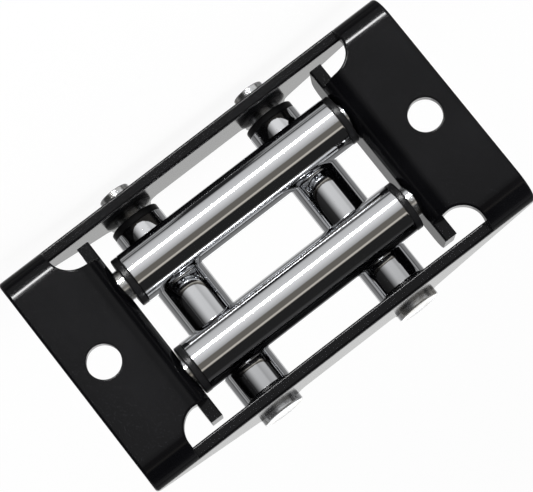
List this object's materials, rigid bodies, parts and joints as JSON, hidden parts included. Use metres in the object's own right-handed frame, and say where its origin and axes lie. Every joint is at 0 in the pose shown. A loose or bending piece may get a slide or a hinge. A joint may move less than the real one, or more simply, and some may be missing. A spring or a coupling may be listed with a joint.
{
  "type": "roller fairlead",
  "caption": "Roller fairlead: black bent-steel frame with chromed guide rollers on pins, crossed to form a rope window, and bolt holes in its mounting plates.",
  "frame": {"origin": "midway between the two bolt holes, on the face of the plates that is bolted up", "axes": "+X along the frame's length, +Y out of the bolted face, +Z across the frame; the body lies at negative Y, and the rope runs along Y"},
  "size_m": [0.1464, 0.0382, 0.0882],
  "materials": {
    "powder_coat": "glossy black powder coat with faint orange peel",
    "chrome_tube": "bright plated steel tube, lightly pitted",
    "bushing_plastic": "satin black moulded plastic",
    "zinc_pin": "bright zinc plate, turned",
    "spring_steel": "plain zinc-plated spring steel"
  },
  "bodies": {
    "frame_assembly": {"frame": "powder_coat", "top_roller_pin": "zinc_pin", "top_roller_ring": "spring_steel", "bottom_roller_pin": "zinc_pin", "bottom_roller_ring": "spring_steel", "left_roller_pin": "zinc_pin", "left_roller_ring": "spring_steel", "right_roller_pin": "zinc_pin", "right_roller_ring": "spring_steel"},
    "top_roller": {"top_roller_tube": "chrome_tube", "top_roller_bushing_left": "bushing_plastic", "top_roller_bushing_right": "bushing_plastic"},
    "bottom_roller": {"bottom_roller_tube": "chrome_tube", "bottom_roller_bushing_left": "bushing_plastic", "bottom_roller_bushing_right": "bushing_plastic"},
    "left_roller": {"left_roller_tube": "chrome_tube", "left_roller_bushing_top": "bushing_plastic", "left_roller_bushing_bottom": "bushing_plastic"},
    "right_roller": {"right_roller_tube": "chrome_tube", "right_roller_bushing_top": "bushing_plastic", "right_roller_bushing_bottom": "bushing_plastic"}
  },
  "joints": [
    {"name": "top_roller_spin", "type": "hinge", "parent": "frame_assembly", "child": "top_roller", "pos_m": [0, -0.01085, 0.0168], "axis": [1, 0, 0], "continuous": true},
    {"name": "bottom_roller_spin", "type": "hinge", "parent": "frame_assembly", "child": "bottom_roller", "pos_m": [0, -0.01085, -0.0168], "axis": [1, 0, 0], "continuous": true},
    {"name": "left_roller_spin", "type": "hinge", "parent": "frame_assembly", "child": "left_roller", "pos_m": [-0.02667, -0.02945, 0], "axis": [0, 0, 1], "continuous": true},
    {"name": "right_roller_spin", "type": "hinge", "parent": "frame_assembly", "child": "right_roller", "pos_m": [0.02667, -0.02945, 0], "axis": [0, 0, 1], "continuous": true}
  ]
}
